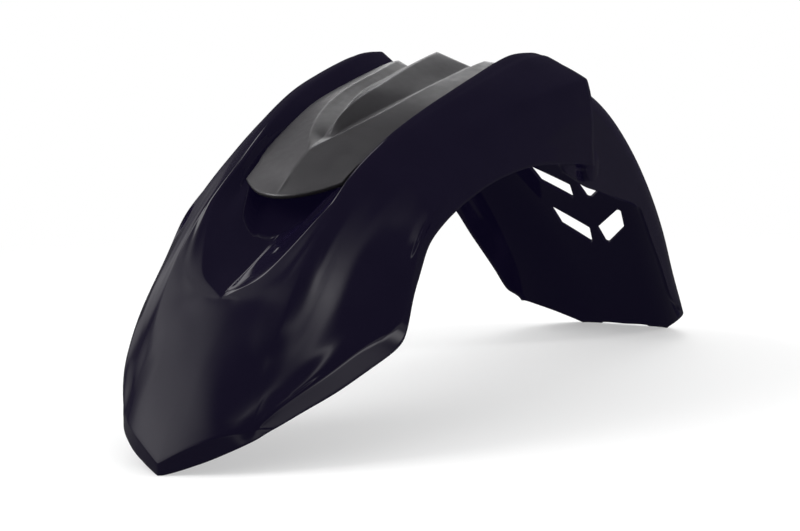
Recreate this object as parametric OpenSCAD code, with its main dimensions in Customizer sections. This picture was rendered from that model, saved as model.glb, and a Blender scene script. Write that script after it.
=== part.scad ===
// Motorcycle front mudguard: one gloss moulding with a matt cover seated in its top channel.
// Wheel-centred polar stations: an angle from the top about the axle (minus is ahead), a radius
// from the axle and a sideways distance from the centre plane. The part rests on its front tip
// and its two rear feet at z = 0, with the tip towards -X and the near and far sides at -Y and +Y.

/* [Size] */
// Outer radius of the crown about the axle, mm
crown_r = 366; // [340:1:390]
// Depth of the axle below the plane the part rests on, mm
axle_drop = 170; // [150:1:190]
// Angle of the front tip ahead of the top, degrees
tip_a = 62.4; // [56:0.1:66]
// Angle of the rear foot line behind the top, degrees
foot_a = 62.3; // [56:0.1:66]
// Wall thickness of the moulding, mm
wall = 3; // [2.4:0.1:4]

/* [Front shell] */
// Half width of the front facet where its side creases start, mm
facet_w = 39; // [34:0.5:44]
// Drop of the front facet at its side creases near the tip, mm
facet_drop = 11.7; // [4:0.1:16]
// Drop of the nose's lower edge below the crown at its corners, mm
edge_drop = 20; // [15:0.5:26]
// Drop of the shoulders below the crown where they are deepest, behind the front facet, mm
arm_drop = 32; // [24:0.5:38]
// Half width over the skirts at their rear corners, mm
skirt_w = 83.3; // [70:0.1:90]
// Half width over the side panels at the rear edge, mm
panel_w = 88; // [80:0.5:95]
// Angle of the skirt's rear corner, degrees
skirt_a = 41.4; // [38:0.1:45]
// Radius of the skirt's rear corner about the axle, mm
skirt_r = 310.7; // [300:0.1:320]
// Radius of the side panel's lower edge at its rear corner, mm
panel_r = 315.2; // [305:0.1:330]
// Radius at the top of the arch in the lower edge, mm
arch_r = 329.6; // [322:0.1:336]
// Half width at the arch, mm
arch_w = 80.2; // [74:0.1:86]
// Sag of the cheeks between the side creases and the shoulders, mm
cheek_sag = 4; // [0:0.5:8]
// How far the shoulders trail the middle of the rear edge, degrees
rear_sweep = 5.9; // [0:0.1:7]
// How far the lower rear corners trail the middle of the rear edge, degrees
rear_rake = 9; // [0:0.1:11]

/* [Channel] */
// Angle of the point where the channel opens, degrees
apex_a = 45.5; // [42:0.1:50]
// Greatest depth of the channel floor below the crown, mm
floor_drop = 17; // [8:0.5:20]
// Half width over the crests where they meet the side creases, mm
crest_w0 = 39.5; // [34:0.5:44]
// Half width over the crests at the rear edge, mm
crest_w1 = 57.5; // [50:0.1:64]
// Rise of the crests above the crown at the rear edge, mm
crest_rise = 19; // [10:0.5:24]
// Width of the rounded crest at its front end, mm
crest_t0 = 3.5; // [3:0.1:6]
// Width of the rounded crest at the rear edge, mm
crest_t1 = 13; // [6:0.5:16]
// Width of the shelf that carries the cover, mm
shelf_w = 6; // [4:0.5:8]

/* [Cover] */
// Angle of the cover's nose, degrees
nose_a = 33.5; // [30:0.1:36]
// Angle where the nose ridge splits in two, degrees
split_a = 26.9; // [24:0.1:30]
// Angle where the fin starts, degrees
fin_a = 22.9; // [20:0.1:25]
// Half width of the cover, mm
cover_w = 40.4; // [34:0.1:44]
// Half width over the cover's two ridges at the rear, mm
ridge_w = 30.5; // [24:0.5:34]
// Rise of the fin above the crown at the rear, mm
fin_rise = 18.8; // [10:0.1:22]
// Wall of the cover, mm
cover_wall = 2.6; // [2:0.1:3.5]
// How far the ends of the cover's rim trail its middle at the rear edge, degrees
cover_sweep = 1.4; // [0:0.1:3]
// Clearance between the cover's rim and the shelf under it, mm
seat_gap = 0.15; // [0.05:0.05:0.5]

/* [Rear section] */
// Half width of the side walls at the fork, mm
fork_w = 84.6; // [78:0.1:88]
// Half width of the side walls at the foot, mm
foot_w = 66; // [60:0.5:75]
// Corner radius of the section at the fork, mm
corner_r0 = 13; // [10:0.5:20]
// Corner radius of the section at the foot, mm
corner_r1 = 45; // [30:0.5:55]
// How far the tail lies inside the crown's arc where it is flattest, mm
tail_flat = 5; // [0:0.1:12]
// Radius of the lower edge of the fork ears, mm
ear_r = 302.5; // [296:0.1:310]
// Angle of the crease where the fork ears end, degrees
ear_a = 30.2; // [26:0.1:34]
// Radius of the front edge of the narrow side walls, mm
band_r = 314.6; // [308:0.1:325]
// Distance of the two feet's inner ends from the centre, mm
foot_in = 21.5; // [15:0.5:25]
// Distance of the two feet's outer ends from the centre, mm
foot_out = 34; // [28:0.5:40]
// Height of the gap between the feet, mm
foot_h = 2.6; // [1:0.1:5]

/* [Slots] */
// Angle of the upper pair of slots at their outer upper corners, degrees
slot_a0 = 33.7; // [32:0.1:36]
// Angle of the lower pair of slots at their outer upper corners, degrees
slot_a1 = 41.9; // [40:0.1:45]
// Reach of the slots from the centre, mm
slot_reach = 27.8; // [22:0.5:32]
// Half width of the spine between the slots, mm
spine_w = 3; // [2.5:0.1:6]
// How far the slots' inner ends trail their outer ends, degrees
slot_sweep = 3.3; // [2:0.1:5]
// Height of a slot along the crown, degrees
slot_h = 3.2; // [2:0.1:4]
// Corner radius of the slots, mm
slot_r = 1.8; // [1:0.1:3]

/* [Fork mounts] */
// Blind bore for an M6 screw, entered from the wheel side, mm
bore_d = 6.4; // [5.5:0.1:8.5]
// Depth of the bore, mm
bore_l = 9; // [6:0.5:12]
// Diameter of the boss round the bore, mm
boss_d = 21; // [14:0.5:24]
// Half width over the outer faces of the two bosses, mm
boss_y = 86.8; // [84:0.1:88]
// Half width between the inner faces of the two bosses, mm
boss_in = 75; // [72:0.5:80]
// Distance of the bores behind the axle, mm
mount_x = 46; // [35:0.5:60]
// Height of the bores, mm
mount_z = 142; // [136:0.5:150]

/* [Hidden] */
rear_a = -0.6;
nr = 22;

function lerp(a, b, u) = a + (b - a) * u;
function clamp01(u) = max(0, min(1, u));
function ease(u) = let (w = clamp01(u)) w * w * (3 - 2 * w);
function at(p) = [p[2] * sin(p[0]), p[1], max(0, p[2] * cos(p[0]) - axle_drop)];
function mix(a, b, u) = [for (k = [0:2]) lerp(a[k], b[k], u)];

// A smooth line through the knots [position, value]
function seg(k, t, i = 0) = (i >= len(k) - 2 || t < k[i + 1][0]) ? i : seg(k, t, i + 1);
function rate(k, i, j) = (k[j][1] - k[i][1]) / (k[j][0] - k[i][0]);
function slope(k, i) = i == 0 ? rate(k, 0, 1) : i == len(k) - 1 ? rate(k, i - 1, i) : rate(k, i - 1, i + 1);
function curve(k, t) = let (
    i = seg(k, t),
    h = k[i + 1][0] - k[i][0],
    u = clamp01((t - k[i][0]) / h),
    m0 = slope(k, i) * h,
    m1 = slope(k, i + 1) * h
  ) (2 * u * u * u - 3 * u * u + 1) * k[i][1] + (u * u * u - 2 * u * u + u) * m0
    + (3 * u * u - 2 * u * u * u) * k[i + 1][1] + (u * u * u - u * u) * m1;

// Lower edge of the front shell along its own angle: half width and radius
edge_y = [[-56.7, facet_w + 6], [-55.5, facet_w + 11.4], [-52, skirt_w - 21.3], [-47.5, skirt_w - 11.3],
  [-skirt_a, skirt_w],
  [-36, arch_w + 1.2], [-32, arch_w], [-20, arch_w + 3], [-9, panel_w - 2], [8.5, panel_w]];
edge_r = [[-56.7, crown_r - 19.3], [-54, crown_r - 27.5], [-50, skirt_r + 14.6], [-46, skirt_r + 5.1],
  [-skirt_a - 1, skirt_r - 0.5],
  [-skirt_a + 0.4, skirt_r + 2.2], [-38.5, skirt_r + 8], [-34.5, arch_r - 6], [-31, arch_r],
  [-20, arch_r - 3.3],
  [-9, panel_r + 5.4], [0, panel_r + 1], [8.5, panel_r]];
// Crease at the top of the turned edge
bead_y = [[-56.6, facet_w + 3], [-54.3, facet_w + 11.5], [-50.9, skirt_w - 21.5], [-47, skirt_w - 11.9],
  [-skirt_a, skirt_w - 1.2],
  [-36, arch_w + 1], [-31, arch_w - 0.8], [-20, arch_w + 2.1], [-9, panel_w - 2.8], [8.5, panel_w]];
bead_r = [[-56.6, crown_r - 14.8], [-54.3, crown_r - 18.2], [-50.9, crown_r - 26], [-47, skirt_r + 19.3],
  [-42.2, skirt_r + 10.6], [-39.5, skirt_r + 12],
  [-35, arch_r + 2], [-31, arch_r + 11], [-24, arch_r + 8], [-9, panel_r + 15], [8.5, panel_r + 11]];
// Shoulder line
arm_y = [[-56.8, facet_w + 2], [-54, facet_w + 9.3], [-50.9, skirt_w - 25], [-47, skirt_w - 14.3],
  [-43, skirt_w - 8.1],
  [-38, arch_w - 4.7], [-30, arch_w - 2.9], [-25, arch_w - 2.6], [-20, arch_w - 3.2], [-15, panel_w - 10.7],
  [-11, panel_w - 8.7], [-7, panel_w - 5.5], [-3, panel_w - 3.5], [1, panel_w - 1.4], [5.3, panel_w - 0.6]];
arm_r = [[-56.8, crown_r - 13], [-54, crown_r - 14], [-50.9, crown_r - 20],
  [-47, crown_r - arm_drop + 4.5], [-43, crown_r - arm_drop], [-38, crown_r - arm_drop + 1],
  [-34, crown_r - arm_drop + 3.5], [-30, crown_r - 25], [-25, crown_r - 20],
  [-20, crown_r - 15.5], [-15, crown_r - 10.5], [-11, crown_r - 6.5], [-7, crown_r - 5.7],
  [-3, crown_r - 4.2], [1, crown_r - 1.2], [5.3, crown_r + 3.3]];
// Side crease of the front facet, which runs into the outer side of the crest
side_y = [[-tip_a, facet_w], [-56, facet_w - 0.8], [-51, facet_w - 0.8], [-45, facet_w + 1.2],
  [-40, facet_w + 2.2],
  [-34, crest_w0 + crest_t0 / 2]];
side_r = [[-tip_a, crown_r - facet_drop], [-56, crown_r - facet_drop + 0.3],
  [-51, crown_r - facet_drop + 2.9], [-45.2, crown_r - 3], [-41, crown_r + 1], [-34, crown_r + 3]];
// Edge of the channel ahead of the crest, from its point
lip_y = [[-apex_a, 1.5], [-apex_a + 0.6, 5.8], [-43.45, crest_w0 - 22.3], [-41.35, crest_w0 - 15.7],
  [-39, crest_w0 - 10.3], [-36.6, crest_w0 - 5.7],
  [-34, crest_w0 - crest_t0 / 2]];
// Middle of the rounded crest
crest_y = [[-34, crest_w0], [-30.5, crest_w0], [-28.8, crest_w0 + 0.5], [-26, crest_w0 + 2.5],
  [-23, crest_w0 + 5.1],
  [-19, crest_w1 - 8.7], [-13.3, crest_w1 - 3.6], [-9, crest_w1 - 1.9], [-4, crest_w1 - 1.1],
  [2.2, crest_w1]];
crest_r = [[-apex_a, crown_r - 0.2], [-40, crown_r + 0.6], [-34, crown_r + 2.9], [-28, crown_r + 3.8],
  [-19, crown_r + 6],
  [-13, crown_r + 8.2], [-8, crown_r + 11], [-4, crown_r + 14.8], [0, crown_r + crest_rise],
  [3.5, crown_r + crest_rise + 1.2]];
// Centre line of the front facet and of the channel floor
nose_r = [[-tip_a, crown_r + 3.6], [-58, crown_r + 3.4], [-52, crown_r + 2], [-apex_a, crown_r - 0.3],
  [-43.8, crown_r - 3.8], [-41.4, crown_r - 9.3], [-37.6, crown_r - 15.2], [-34, crown_r - floor_drop],
  [-24, crown_r - floor_drop + 2], [-10, crown_r - floor_drop / 2], [rear_a, crown_r + 1.5]];
// Rim of the cover: half width and radius
rim_y = [[-30, cover_w - 7.8], [-28, cover_w - 6.2], [-22, cover_w - 2.9], [-15, cover_w - 0.6],
  [-10, cover_w], [-5, cover_w - 0.7],
  [1, cover_w - 2.8]];
rim_r = [[-30, crown_r - 1.8], [-21, crown_r - 2.2], [-15, crown_r], [-9, crown_r + 2], [-4, crown_r + 6],
  [1, crown_r + 12]];

// Radius of the turned edge and of the crease above it, across the front
function tip_edge_r(y) = curve([[0, crown_r + 0.8], [4, crown_r - 1.8], [12, crown_r - 4.6],
  [20, crown_r - 6.3], [27.5, crown_r - 8.4], [34, crown_r - edge_drop + 8.6],
  [40, crown_r - edge_drop + 4.8], [46, crown_r - edge_drop]], y);
function tip_edge_a(y) = curve([[0, -tip_a], [12, -tip_a + 1], [20, -tip_a + 1.7], [27.5, -tip_a + 2.5],
  [34, -tip_a + 3.5],
  [40, -tip_a + 4.5], [45, -tip_a + 5.7]], y);
function tip_bead_r(y) = curve([[0, crown_r + 3.6], [10, crown_r + 2.8], [20, crown_r + 1.8],
  [26, crown_r - 1], [31, crown_r - 5], [39, crown_r - facet_drop], [43, crown_r - facet_drop - 3.5]], y);

// Angles of the front shell's stations, closest together at the point of the channel
first_a = -tip_a + 0.9;
stations = [
  for (i = [0:9]) lerp(first_a, -apex_a - 0.4, i / 9),
  for (i = [0:6]) lerp(-apex_a, -skirt_a, i / 6),
  for (i = [1:8]) lerp(-skirt_a, -29, i / 8),
  for (i = [1:14]) lerp(-29, rear_a, i / 14)
];
// Lead of the front facet's sides, and trail of everything beside the middle at the rear edge
function lead(t) = 0.113 * (1 - ease((t - first_a) / 14));
function trail(t) = pow(clamp01((t + 26) / (26 + rear_a)), 2);
function sweep(y) = rear_sweep * y / panel_w;
function own(t, start) = t < -skirt_a ? lerp(start, -skirt_a,
  clamp01((t - first_a) / (-skirt_a - first_a))) : t;

// Half of one station of the front shell as [angle, half width, radius], centre first
function tip_row(i) = [for (j = [0:21])
    let (y = j <= 6 ? j : j <= 11 ? lerp(6, facet_w, (j - 6) / 5) : i == 0 ? lerp(facet_w, facet_w + 6,
    (j - 11) / 10)
      : j < 20 ? lerp(facet_w, facet_w + 4, (j - 11) / 8) : facet_w + 4 + 2.25 * (j - 19))
    i == 0 ? [tip_edge_a(y), y, tip_edge_r(y)]
      : [first_a + 0.113 * y, y, j == 21 ? crown_r - edge_drop - 0.8 : j == 20 ? crown_r - edge_drop + 2
      : tip_bead_r(y)]];
function row(t) = let (
    k = lead(t),
    d = trail(t),
    flat = t < -apex_a,
    crested = t > -34,
    shelf = ease((t + 39) / 9),
    w = lerp(crest_t0, crest_t1, ease((t + 36) / 36)),
    tc = t + d * 4.1,
    tr = t + d * sweep(cover_w - 2),
    r0 = curve(nose_r, t),
    yk = crested ? curve(crest_y, tc) + w / 2 : curve(side_y, t),
    rk = crested ? curve(crest_r, tc) - lerp(0.1, 0.27, ease((t + 36) / 36)) * w : curve(side_r, t),
    yc = flat ? lerp(6, 1.5, ease((t - first_a) / (-apex_a - first_a)))
      : crested ? curve(crest_y, tc) - w / 2 : curve(lip_y, t),
    rc = flat ? r0 - (r0 - rk) * pow(yc / yk, 3) : curve(crest_r, tc) - 0.13 * w * ease((t + 37) / 3),
    bend = lerp(3, 2, ease((t + apex_a) / 6)),
    v = function (y) flat ? r0 - (r0 - rk) * pow(y / yk, 3) : lerp(r0, rc, y / yc),
    bed = min(curve(rim_r, tr) - cover_wall - seat_gap, rc - 1),
    yw = lerp(yc * 0.8, curve(rim_y, tr) + 1.2, shelf),
    ys = lerp(yc * 0.55, curve(rim_y, tr) - shelf_w + 1.2, shelf),
    yf = lerp(yc * 0.25, curve(rim_y, tr) - shelf_w - 2.5, shelf),
    go = function (y) t + k * y + d * sweep(y),
    c3 = [go(yw), yw, lerp(v(yw), bed, shelf)],
    c6 = [go(yc), yc, rc],
    c11 = [go(yk), yk, rk],
    sa = own(t, -56.8) + d * rear_sweep,
    ba = own(t, -56.6) + d * (rear_rake - 0.6),
    ea = own(t, -56.2) + d * rear_rake,
    s = [sa, curve(arm_y, sa), curve(arm_r, sa)],
    b = [ba, curve(bead_y, ba), curve(bead_r, ba)],
    e = [ea, curve(edge_y, ea), curve(edge_r, ea)],
    sag = lerp(cheek_sag, -0.8, ease((t + 22) / 16)) * ease((s[1] - yk) / 20)
  ) [
    [t, 0, r0],
    [go(yf), yf, lerp(v(yf), r0, shelf)],
    [go(ys), ys, lerp(v(ys), bed, shelf)],
    c3,
    for (u = [1, 2]) let (m = mix(c3, c6, u / 3)) flat ? [m[0], m[1], v(m[1])] : m,
    c6,
    for (u = [1:4]) let (m = mix(c6, c11, u / 5))
      [m[0], m[1], flat ? v(m[1]) : crested ? m[2] + 0.13 * w * sin(36 * u) : lerp(rc, rk, pow(u / 5,
      bend))],
    c11,
    for (u = [1:3]) let (m = mix(c11, s, u / 4)) [m[0], m[1], m[2] - sag * sin(45 * u)],
    s,
    for (u = [[0.13, 0.23], [0.32, 0.62], [0.66, 0.85]]) let (m = mix(s, b, u[0]))
      [lerp(sa, ba, u[1]), m[1] + 0.5 * sin(180 * u[0]), m[2]],
    b,
    mix(b, e, 0.5),
    e
  ];

// Mirrors a half station to a full one and turns it into points
function whole(h) = concat([for (j = [len(h) - 1:-1:1]) at([h[j][0], -h[j][1], h[j][2]])],
  [for (p = h) at(p)]);

// A closed sheet: the grid g joined to the same grid moved inward by w
function unit(v) = v / max(norm(v), 1e-9);
function normal_at(g, i, j) = let (
    n = len(g) - 1,
    m = len(g[0]) - 1,
    du = g[min(i + 1, n)][j] - g[max(i - 1, 0)][j],
    dv = g[i][min(j + 1, m)] - g[i][max(j - 1, 0)]
  ) unit(cross(du, dv));
module sheet(g, w) {
  n = len(g);
  m = len(g[0]);
  k = n * m;
  outer = [for (r = g) each r];
  inner = [for (i = [0:n - 1]) for (j = [0:m - 1]) let (p = g[i][j] - w * normal_at(g, i, j)) [p[0], p[1],
  max(p[2], 0)]];
  faces = [
    for (i = [0:n - 2]) for (j = [0:m - 2]) let (a = i * m + j, b = a + 1, c = a + m, d = c + 1)
      each [[a, b, d], [a, d, c], [k + a, k + d, k + b], [k + a, k + c, k + d]],
    for (i = [0:n - 2]) let (a = i * m, c = a + m, b = a + m - 1, d = b + m)
      each [[a, c, k + c], [a, k + c, k + a], [b, k + d, d], [b, k + b, k + d]],
    for (j = [0:m - 2]) let (a = j, b = j + 1, c = (n - 1) * m + j, d = c + 1)
      each [[a, k + b, b], [a, k + a, k + b], [c, d, k + d], [c, k + d, k + c]]
  ];
  polyhedron(concat(outer, inner), faces);
}

// Rear section: a crown with rounded corners and side walls, down to the foot line
function rear_w(a) = a < 33 ? curve([[-3, fork_w + 0.2], [1, fork_w], [13, fork_w - 4.6],
  [22, fork_w - 7.8], [33, fork_w - 11.4], [42, foot_w + 4]], a)
  : curve([[24, fork_w - 8.4], [33, fork_w - 11.4], [42, foot_w + 4], [50, foot_w + 0.6],
  [foot_a, foot_w]], a);
function rear_c(a) = curve([[-3, corner_r0], [13, corner_r0 + 7], [24, corner_r0 + 16],
  [33, corner_r1 - 11], [50, corner_r1 - 4], [foot_a, corner_r1]], a);
function rear_e(a) = curve([[-3, ear_r + 14], [0.4, ear_r + 12.5], [2, ear_r + 7], [7.5, ear_r + 1],
  [12, ear_r],
  [20.8, ear_r + 4.4], [ear_a - 1.2, band_r + 3.4], [ear_a + 0.2, band_r + 5], [ear_a + 3, band_r + 3],
  [38.5, band_r],
  [46.5, band_r + 1.4], [50.5, band_r + 4.2], [54.5, band_r + 15]], a);
function foot_z(y) = curve([[0, foot_h], [foot_in - 3, foot_h], [foot_in, 0], [foot_out, 0],
  [foot_out + 3, 2.4], [foot_out + 14, 9],
  [foot_w - 6, 17], [foot_w, 22.5]], y);
function rear_r(a) = curve([[-3, crown_r], [12, crown_r], [26, crown_r - 2.2],
  [38, crown_r - tail_flat + 0.7],
  [48, crown_r - tail_flat], [56, crown_r - tail_flat + 2.6], [foot_a, crown_r + 0.86]], a);
function rear_half(a) = let (
    w = rear_w(a),
    c = rear_c(a),
    e = rear_e(a),
    f = w - c,
    r = rear_r(a),
    turn = e + 3 > r - c ? acos(1 - (r - e - 3) / c) : 90
  ) [for (u = [0, 0.5, 1]) [a, f * u, r],
   for (q = [1:6]) [a, f + c * sin(turn * q / 6), r - c * (1 - cos(turn * q / 6))],
   for (u = [0.34, 0.67, 1]) [a, f + c * sin(turn), lerp(r - c * (1 - cos(turn)), e, u)]];
function rear_row(i) = let (a = lerp(-3, foot_a, i / nr), last = rear_half(foot_a))
  [for (j = [0:len(last) - 1]) let (
      end = acos((foot_z(last[j][1]) + axle_drop) / last[j][2]),
      own_a = a <= 33 ? a : lerp(33, end, (a - 33) / (foot_a - 33))
    ) [own_a, rear_half(own_a)[j][1], rear_half(own_a)[j][2]]];

// Cover: half of one station as [angle, half width, radius], centre first
function fin_r(t) = curve([[-fin_a, crown_r + 0.5], [-fin_a + 1.7, crown_r + 5.7], [-19.4, crown_r + 7.5],
  [-15.4, crown_r + 8.7],
  [-11.3, crown_r + 9.2], [-5.8, crown_r + 13.4], [rear_a, crown_r + fin_rise]], t);
function ridge_y(t) = curve([[-split_a, 0.8], [-25.5, 4.3], [-22.6, ridge_w - 18.3],
  [-19.3, ridge_w - 11.5], [-15.2, ridge_w - 6.5],
  [-10.4, ridge_w - 3.7], [-5, ridge_w - 2.2],
  [rear_a + 0.9, ridge_w]], t);
function ridge_r(t) = curve([[-nose_a, crown_r + 2.3], [-split_a, crown_r + 4.8], [-22.6, crown_r + 4.3],
  [-17, crown_r + 3.7],
  [-10.4, crown_r + 5.1], [-5, crown_r + 7.6], [rear_a + 0.9, crown_r + 13]], t);
function nose_rim_r(y) = curve([[0, crown_r + 2.3], [8, crown_r + 2], [13, crown_r + 1.3],
  [20, crown_r + 0.2], [28, crown_r - 1.3],
  [33, crown_r - 1.8]], y);
cover_stations = [-nose_a, for (t = stations) if (t > -nose_a + 0.3) t];
function cover_half(t) = let (
    k = 0.0032 * (1 - ease((t + nose_a) / 10)),
    d = trail(t),
    go = function (y) t + k * y * y + d * cover_sweep * pow(y / cover_w, 1.8),
    tr = t + d * cover_sweep,
    rim = ease((t + nose_a) / 3.5),
    w = t < -30 ? lerp(cover_w - 9, cover_w - 7.8, (t + nose_a) / (nose_a - 30)) : curve(rim_y, tr),
    rq = t < -30 ? lerp(nose_rim_r(w), curve(rim_r, -30), ease((t + nose_a) / (nose_a - 30)))
    : curve(rim_r, tr),
    yr = t < -split_a ? 0.8 : ridge_y(t + d * 0.9),
    rr = ridge_r(t + d * 0.9),
    v = ease((t + split_a) / 4),
    fin = t > -fin_a ? fin_r(t) : lerp(rr, crown_r + 0.5, v),
    yv = yr * lerp(0.3, 0.74, ease((t + fin_a) / 14)),
    rv = t > -fin_a ? rr - 3.8 : lerp(rr, crown_r + 0.5, v)
  ) [
    [t, 0, fin],
    [go(yv / 2), yv / 2, lerp(fin, rv, 0.5)],
    [go(yv), yv, rv],
    [go(yr), yr, rr],
    for (u = [1:5]) let (y = lerp(yr, w, u / 5)) [go(y), y, lerp(nose_rim_r(y), lerp(rr, rq, u / 5), rim)]
  ];

// A slot through the crown, with rounded corners, cut square to the crown at its middle
module slot(a, side) {
  mid = a + slot_sweep / 2 + slot_h / 2;
  in = 70 * slot_r / crown_r;
  corners = [[a + in, slot_reach - slot_r], [a + slot_h + 0.3 - in, slot_reach - slot_r - 2.4],
    [a + slot_sweep + slot_h - 0.2 - in, spine_w + slot_r + 2], [a + slot_sweep + in, spine_w + slot_r]];
  translate([0, 0, -axle_drop])
    rotate([0, mid, 0])
      translate([0, 0, crown_r - 30])
        hull() for (c = corners)
          translate([crown_r * sin(c[0] - mid), side * c[1], 0])
            cylinder(h = 50, r = slot_r, $fn = 16);
}

module boss(side)
  translate([mount_x, side * boss_in, mount_z])
    rotate([-90 * side, 0, 0])
      cylinder(h = boss_y - boss_in, d = boss_d, $fn = 48);

module bore(side)
  translate([mount_x, side * (boss_in - 1), mount_z])
    rotate([-90 * side, 0, 0])
      cylinder(h = bore_l + 1, d = bore_d, $fn = 48);

module body() color([0.06, 0.055, 0.075]) difference() {
  union() {
    sheet([whole(tip_row(0)), whole(tip_row(1)), for (i = [1:len(stations) - 1]) whole(row(stations[i]))],
    wall);
    sheet([for (i = [0:nr]) whole(rear_row(i))], wall);
    for (side = [-1, 1]) boss(side);
  }
  for (side = [-1, 1]) {
    slot(slot_a0, side);
    slot(slot_a1, side);
    bore(side);
  }
}

module centre_cover() color([0.3, 0.29, 0.3])
  sheet([for (t = cover_stations) whole(cover_half(t))], cover_wall);

body();
centre_cover();
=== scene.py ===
"""Looks for the front mudguard: a gloss black moulding with a matt grey cover in its top channel.

Every surface is a function of a row angle about the wheel's axle and a position across the row. The lines that the
rows run through are the part's own feature lines, softened where the moulding is soft. Lengths are in mm and angles in
degrees up to world(), which turns them into x, y and z; build() turns mm into metres.
"""

import bpy
import numpy as np
from mathutils import Matrix, Vector

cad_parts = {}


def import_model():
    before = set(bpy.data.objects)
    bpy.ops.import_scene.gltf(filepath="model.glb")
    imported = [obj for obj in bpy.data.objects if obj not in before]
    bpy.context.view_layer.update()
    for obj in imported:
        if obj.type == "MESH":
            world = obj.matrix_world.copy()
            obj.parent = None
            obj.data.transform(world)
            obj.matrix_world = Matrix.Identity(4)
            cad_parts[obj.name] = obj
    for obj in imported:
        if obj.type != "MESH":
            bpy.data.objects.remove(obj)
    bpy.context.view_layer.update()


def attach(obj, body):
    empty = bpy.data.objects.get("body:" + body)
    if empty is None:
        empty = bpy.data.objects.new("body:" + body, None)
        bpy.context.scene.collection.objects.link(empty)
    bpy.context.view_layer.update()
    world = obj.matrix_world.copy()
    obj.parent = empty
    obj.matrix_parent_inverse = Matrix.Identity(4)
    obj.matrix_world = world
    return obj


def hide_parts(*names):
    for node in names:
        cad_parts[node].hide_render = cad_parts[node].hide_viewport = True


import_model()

MM = 0.001
DROP = 170.0  # depth of the axle under the floor
CROWN = 366.0  # radius of the crown
WALL, COVER_WALL = 3.0, 2.6

# Row angles, 0 straight above the axle and negative towards the tip
TIP = -62.4
FIRST = TIP + 0.9  # first row of the front shell
ARM_FROM, BEAD_FROM, EDGE_FROM = -56.8, -56.6, -56.2  # where the lower lines of the cheek start
APEX = -45.5  # point of the channel
SKIRT = -41.4  # corner of the skirt
CRESTED = -34.0  # behind it the channel has rounded crests
NOSE_FROM, RIM_FROM, SPLIT, FIN_FROM = -33.5, -30.0, -26.9, -22.9  # cover: nose, side rim, forked ridge and fin
LEANING = -26.0  # behind it the rows lean back
REAR = -0.6  # last row of the front shell
TAIL_FROM, FOLD, TAIL_END = -3, 33, 62.3
SLOTS = (33.7, 41.9)

# How far the last row leans back: at the arm line, at the lower edge, and at the cover's rim
SWEEP, RAKE, RIM_SWEEP = 5.9, 9.0, 1.4
SKEW = 0.113  # how far the first row leans back for each mm of half width
PANEL, RIM_AT = 88, 38.4  # half widths of the panels and of the cover's rim

# The fork bosses: centre, inner and outer end, radius
BOSS_X, BOSS_Z, BOSS_IN, BOSS_OUT, BOSS_R = 46, 142, 75, 86.8, 10.5


def clamp(u):
    """u held between 0 and 1."""
    return np.clip(u, 0.0, 1.0)


def ease(u):
    """The smooth step 3u^2 - 2u^3."""
    w = clamp(u)
    return w * w * (3 - 2 * w)


def curve(knots, t):
    """A cubic through the knots (position, value), straight beyond both ends."""
    k = np.asarray(knots, float)
    x, y = k[:, 0], k[:, 1]
    t = np.asarray(t, float)
    rate = (y[1:] - y[:-1]) / (x[1:] - x[:-1])
    m = np.empty_like(y)
    m[0], m[-1] = rate[0], rate[-1]
    m[1:-1] = (y[2:] - y[:-2]) / (x[2:] - x[:-2])
    i = np.clip(np.searchsorted(x, t, side="right") - 1, 0, len(x) - 2)
    h = x[i + 1] - x[i]
    u = clamp((t - x[i]) / h)
    v = (2 * u**3 - 3 * u**2 + 1) * y[i] + (u**3 - 2 * u**2 + u) * h * m[i]
    v = v + (3 * u**2 - 2 * u**3) * y[i + 1] + (u**3 - u**2) * h * m[i + 1]
    return v + np.where(t < x[0], (t - x[0]) * m[0], 0) + np.where(t > x[-1], (t - x[-1]) * m[-1], 0)


def soft(knots, t, s=1.5):
    """The same curve averaged over a bell of width s, so that it runs without ripples."""
    t = np.asarray(t, float)
    o = np.linspace(-2.4, 2.4, 13)
    w = np.exp(-o * o / 2)
    return sum(a * curve(knots, t + b * s) for a, b in zip(w / w.sum(), o))


def world(g):
    """Angle, half width and radius to x, y, z in mm: (r sin a, y, r cos a - drop)."""
    a = np.radians(g[..., 0])
    return np.stack([g[..., 2] * np.sin(a), g[..., 1], np.maximum(g[..., 2] * np.cos(a) - DROP, 0)], -1)


# Feature lines along the part: angle against half width (_Y) and against radius (_R)
EDGE_Y = [(-56.7, 45), (-55.5, 50.4), (-52, 62), (-47.5, 72), (-41.4, 83.3), (-36, 81.4), (-32, 80.2), (-20, 83.2),
          (-9, 86), (8.5, 88)]
EDGE_R = [(-56.7, 346.7), (-54, 338.5), (-50, 325.3), (-46, 315.8), (-42.4, 310.2), (-41, 312.9), (-38.5, 318.7),
          (-34.5, 323.6), (-31, 329.6), (-20, 326.3), (-9, 320.6), (0, 316.2), (8.5, 315.2)]
BEAD_Y = [(-56.6, 42), (-54.3, 50.5), (-50.9, 61.8), (-47, 71.4), (-41.4, 82.1), (-36, 81.2), (-31, 79.4),
          (-20, 82.3), (-9, 85.2), (8.5, 88)]
BEAD_R = [(-56.6, 351.2), (-54.3, 347.8), (-50.9, 340), (-47, 330), (-42.2, 321.3), (-39.5, 322.7), (-35, 331.6),
          (-31, 340.6), (-24, 337.6), (-9, 330.2), (8.5, 326.2)]
ARM_Y = [(-56.8, 41), (-54, 48.3), (-50.9, 58.3), (-47, 69), (-43, 75.2), (-38, 75.5), (-30, 77.3), (-25, 77.6),
         (-20, 77), (-15, 77.3), (-11, 79.3), (-7, 82.5), (-3, 84.5), (1, 86.6), (5.3, 87.4)]
ARM_R = [(-56.8, 353), (-54, 352), (-50.9, 346), (-47, 338.5), (-43, 334), (-38, 335), (-34, 337.5), (-30, 341),
         (-25, 346), (-20, 350.5), (-15, 355.5), (-11, 359.5), (-7, 360.3), (-3, 361.8), (1, 364.8), (5.3, 369.3)]
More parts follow.
